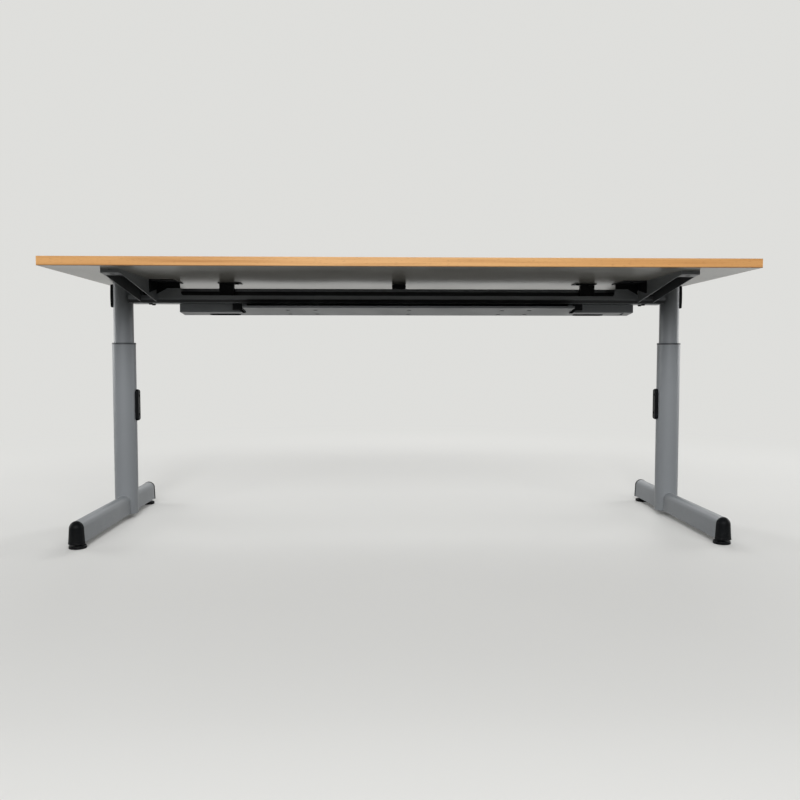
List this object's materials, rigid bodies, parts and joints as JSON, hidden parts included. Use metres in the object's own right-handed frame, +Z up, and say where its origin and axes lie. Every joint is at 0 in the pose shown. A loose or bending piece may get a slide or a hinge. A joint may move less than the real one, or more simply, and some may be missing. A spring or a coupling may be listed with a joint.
{
  "type": "office desk",
  "caption": "Height-adjustable office desk: beech-edged worktop on a steel crossbeam, round telescopic columns with long low feet, and a fold-down cable tray.",
  "frame": {"origin": "on the floor, under the middle of the worktop", "axes": "+X to the right along the worktop, -Y to the front (user's side), +Z up"},
  "size_m": [1.8, 0.8, 0.732],
  "materials": {
    "worktop_decor": "beech decor laminate, satin",
    "chipboard": "raw chipboard",
    "backing_decor": "light grey backing laminate, matte",
    "edge_band": "beech decor edge band, satin",
    "silver_coat": "silver-grey powder coat, satin",
    "black_steel": "black powder coat",
    "black_plastic": "moulded, fine grain",
    "zinc_steel": "zinc plated",
    "bush_nylon": "moulded"
  },
  "bodies": {
    "root": {"top_laminate": "worktop_decor", "board_core": "chipboard", "backing_laminate": "backing_decor", "edge_band_front": "edge_band", "edge_band_rear": "edge_band", "edge_band_left": "edge_band", "edge_band_right": "edge_band", "crossbeam": "silver_coat", "centre_spacer": "black_plastic", "beam_bracket_left": "black_steel", "beam_bracket_right": "black_steel", "arm_left": "silver_coat", "arm_right": "silver_coat", "arm_posts": "zinc_steel", "arm_bolts": "black_steel", "board_screws": "black_steel", "inner_tube_left": "silver_coat", "inner_tube_right": "silver_coat", "tube_plugs": "bush_nylon", "tube_cover_left": "black_plastic", "tube_cover_right": "black_plastic", "saddle_left": "silver_coat", "saddle_right": "silver_coat", "saddle_bolts": "zinc_steel", "lower_bush_left": "bush_nylon", "lower_bush_right": "bush_nylon", "tray_hanger_left": "black_steel", "tray_hanger_right": "black_steel", "tray_hinge_pins": "zinc_steel", "tray_catch_left": "black_plastic", "tray_catch_right": "black_plastic"},
    "tray": {"cable_tray": "silver_coat"},
    "leg_left": {"outer_tube_left": "silver_coat", "upper_bush_left": "bush_nylon", "foot_left": "silver_coat", "front_cap_left": "black_plastic", "rear_cap_left": "black_plastic", "clamp_cover_left": "black_plastic", "clamp_pad_left": "zinc_steel", "clamp_screws_left": "zinc_steel", "clamp_shoe_left": "bush_nylon", "glide_nuts_left": "zinc_steel"},
    "leg_right": {"outer_tube_right": "silver_coat", "upper_bush_right": "bush_nylon", "foot_right": "silver_coat", "front_cap_right": "black_plastic", "rear_cap_right": "black_plastic", "clamp_cover_right": "black_plastic", "clamp_pad_right": "zinc_steel", "clamp_screws_right": "zinc_steel", "clamp_shoe_right": "bush_nylon", "glide_nuts_right": "zinc_steel"},
    "glide_front_left": {"glide_disc_front_left": "black_plastic", "glide_stem_front_left": "zinc_steel"},
    "glide_rear_left": {"glide_disc_rear_left": "black_plastic", "glide_stem_rear_left": "zinc_steel"},
    "glide_front_right": {"glide_disc_front_right": "black_plastic", "glide_stem_front_right": "zinc_steel"},
    "glide_rear_right": {"glide_disc_rear_right": "black_plastic", "glide_stem_rear_right": "zinc_steel"}
  },
  "joints": [
    {"name": "leg_left_height", "type": "slide", "parent": "root", "child": "leg_left", "axis": [0, 0, -1], "range_m": [-0.082, 0.118]},
    {"name": "leg_right_height", "type": "slide", "parent": "root", "child": "leg_right", "axis": [0, 0, -1], "range_m": [-0.082, 0.118]},
    {"name": "tray_fold", "type": "hinge", "parent": "root", "child": "tray", "pos_m": [0.028, 0.092, 0.624], "axis": [1, 0, 0], "range_deg": [0, 70]},
    {"name": "glide_front_left_level", "type": "slide", "parent": "leg_left", "child": "glide_front_left", "axis": [0, 0, -1], "range_m": [-0.003, 0.012]},
    {"name": "glide_rear_left_level", "type": "slide", "parent": "leg_left", "child": "glide_rear_left", "axis": [0, 0, -1], "range_m": [-0.003, 0.012]},
    {"name": "glide_front_right_level", "type": "slide", "parent": "leg_right", "child": "glide_front_right", "axis": [0, 0, -1], "range_m": [-0.003, 0.012]},
    {"name": "glide_rear_right_level", "type": "slide", "parent": "leg_right", "child": "glide_rear_right", "axis": [0, 0, -1], "range_m": [-0.003, 0.012]}
  ],
  "couplings": [
    {"joint": "leg_right_height", "follows": "leg_left_height", "ratio": 1}
  ]
}
